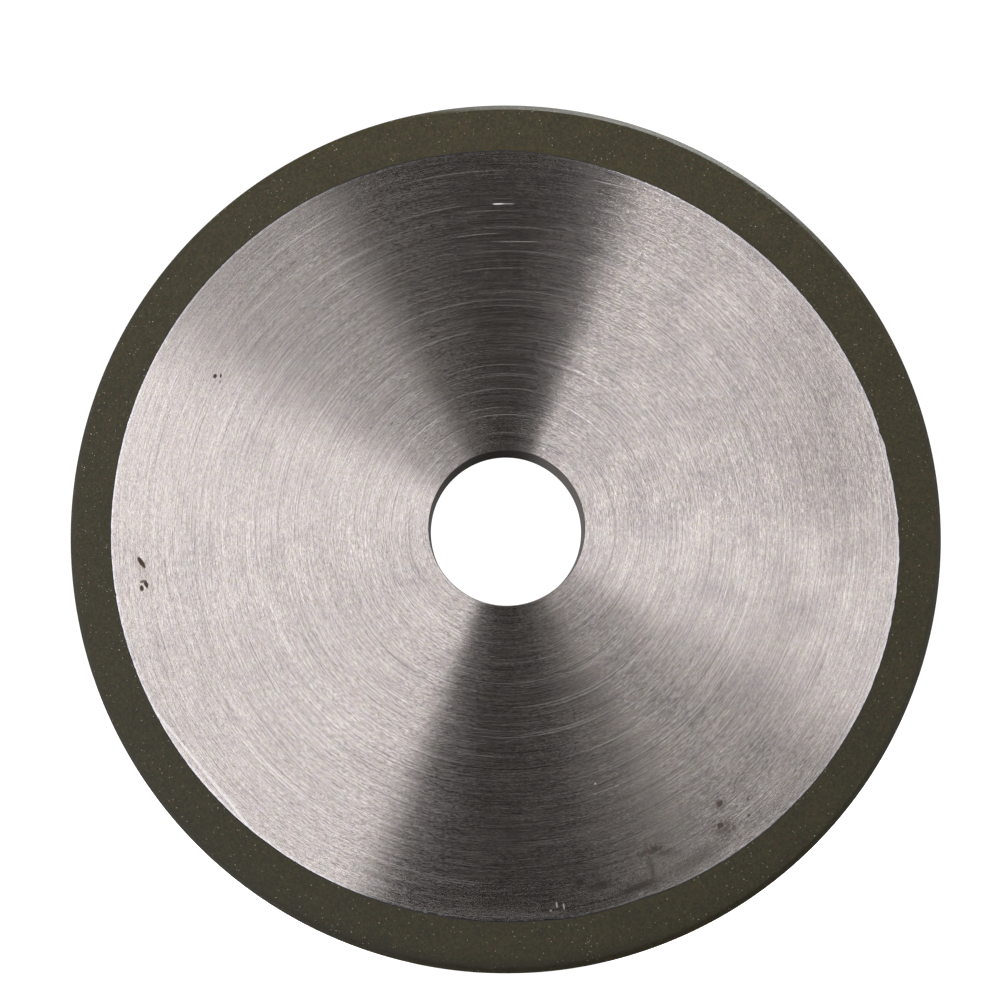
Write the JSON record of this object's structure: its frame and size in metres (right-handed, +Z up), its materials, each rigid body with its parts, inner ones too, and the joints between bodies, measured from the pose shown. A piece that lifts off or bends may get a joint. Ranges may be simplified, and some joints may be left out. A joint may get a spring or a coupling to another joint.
{
  "type": "diamond grinding wheel",
  "caption": "Straight grinding wheel: a turned steel core with a plain bore and a rim of resin-bonded diamond, for lapidary and tool grinding spindles.",
  "frame": {"origin": "the wheel's centre, on the bore's axis and midway between the two faces", "axes": "the wheel stands upright and spins about +Y; its front face looks along -Y; +Z is up"},
  "size_m": [0.1778, 0.0126, 0.1778],
  "materials": {
    "turned_steel": "fine face-turned steel with concentric tool marks, light stains and rust specks",
    "bond_resin": "dark brown cured phenolic bonding film",
    "diamond_section": "matt olive-brown resin bond with fine grain and scattered diamond grains"
  },
  "bodies": {
    "root": {"steel_core": "turned_steel", "bond_film": "bond_resin", "diamond_rim": "diamond_section"}
  },
  "joints": []
}
